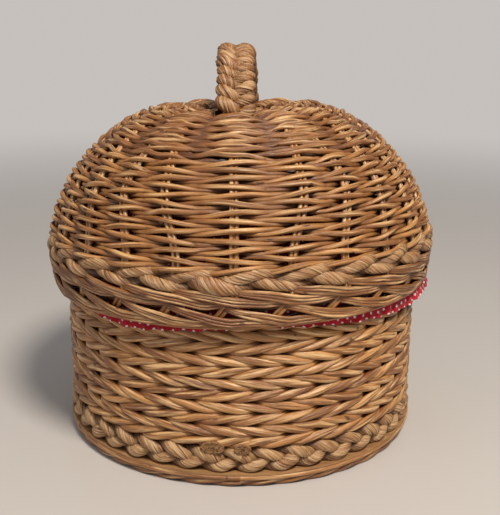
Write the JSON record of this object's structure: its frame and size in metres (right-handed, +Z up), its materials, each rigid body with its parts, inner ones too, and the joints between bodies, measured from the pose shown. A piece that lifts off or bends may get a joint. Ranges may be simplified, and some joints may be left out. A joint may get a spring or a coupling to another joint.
{
  "type": "round wicker bread box",
  "caption": "Round woven willow bread box with a husk-plaited foot band, a spotted cloth liner and a domed lift-off lid that has an arched plaited handle.",
  "frame": {"origin": "middle of the foot, on the surface that the basket stands on", "axes": "+Z up, -Y towards the front, the handle's arch runs along Y"},
  "size_m": [0.3283, 0.3284, 0.3202],
  "materials": {
    "willow": "buff willow rods, honey brown, smooth with a faint sheen",
    "husk": "plaited dry husk, straw colour, matt and streaky",
    "plywood": "thin plywood, light brown, matt",
    "cloth": "plain cotton, deep red with small white dots"
  },
  "bodies": {
    "basket": {"foot_border": "willow", "base_board": "plywood", "basket_stakes": "willow", "basket_husk_plait": "husk", "wall_chevron_1": "willow", "wall_chevron_2": "willow", "wall_chevron_3": "willow", "wall_chevron_4": "willow", "wall_chevron_5": "willow", "wall_chevron_6": "willow", "wall_chevron_7": "willow", "basket_rim_border": "willow", "liner_bag": "cloth", "liner_collar": "cloth"},
    "lid": {"lid_border": "willow", "lid_stake_ends": "willow", "lid_wale": "willow", "lid_husk_plait": "husk", "lid_chevron_1": "willow", "lid_chevron_2": "willow", "lid_chevron_3": "willow", "lid_chevron_4": "willow", "lid_chevron_5": "willow", "lid_chevron_6": "willow", "lid_chevron_7": "willow", "lid_chevron_8": "willow", "lid_chevron_9": "willow", "lid_chevron_10": "willow", "lid_stakes": "willow", "crown_weave_outer": "willow", "crown_weave_inner": "willow", "crown_rods_long": "willow", "crown_rods_cross": "willow", "handle_core": "willow", "handle_grip": "husk", "handle_pegs": "willow"}
  },
  "joints": [
    {"name": "lid_lift", "type": "slide", "parent": "basket", "child": "lid", "axis": [0, 0, 1], "range_m": [0, 0.12]}
  ]
}
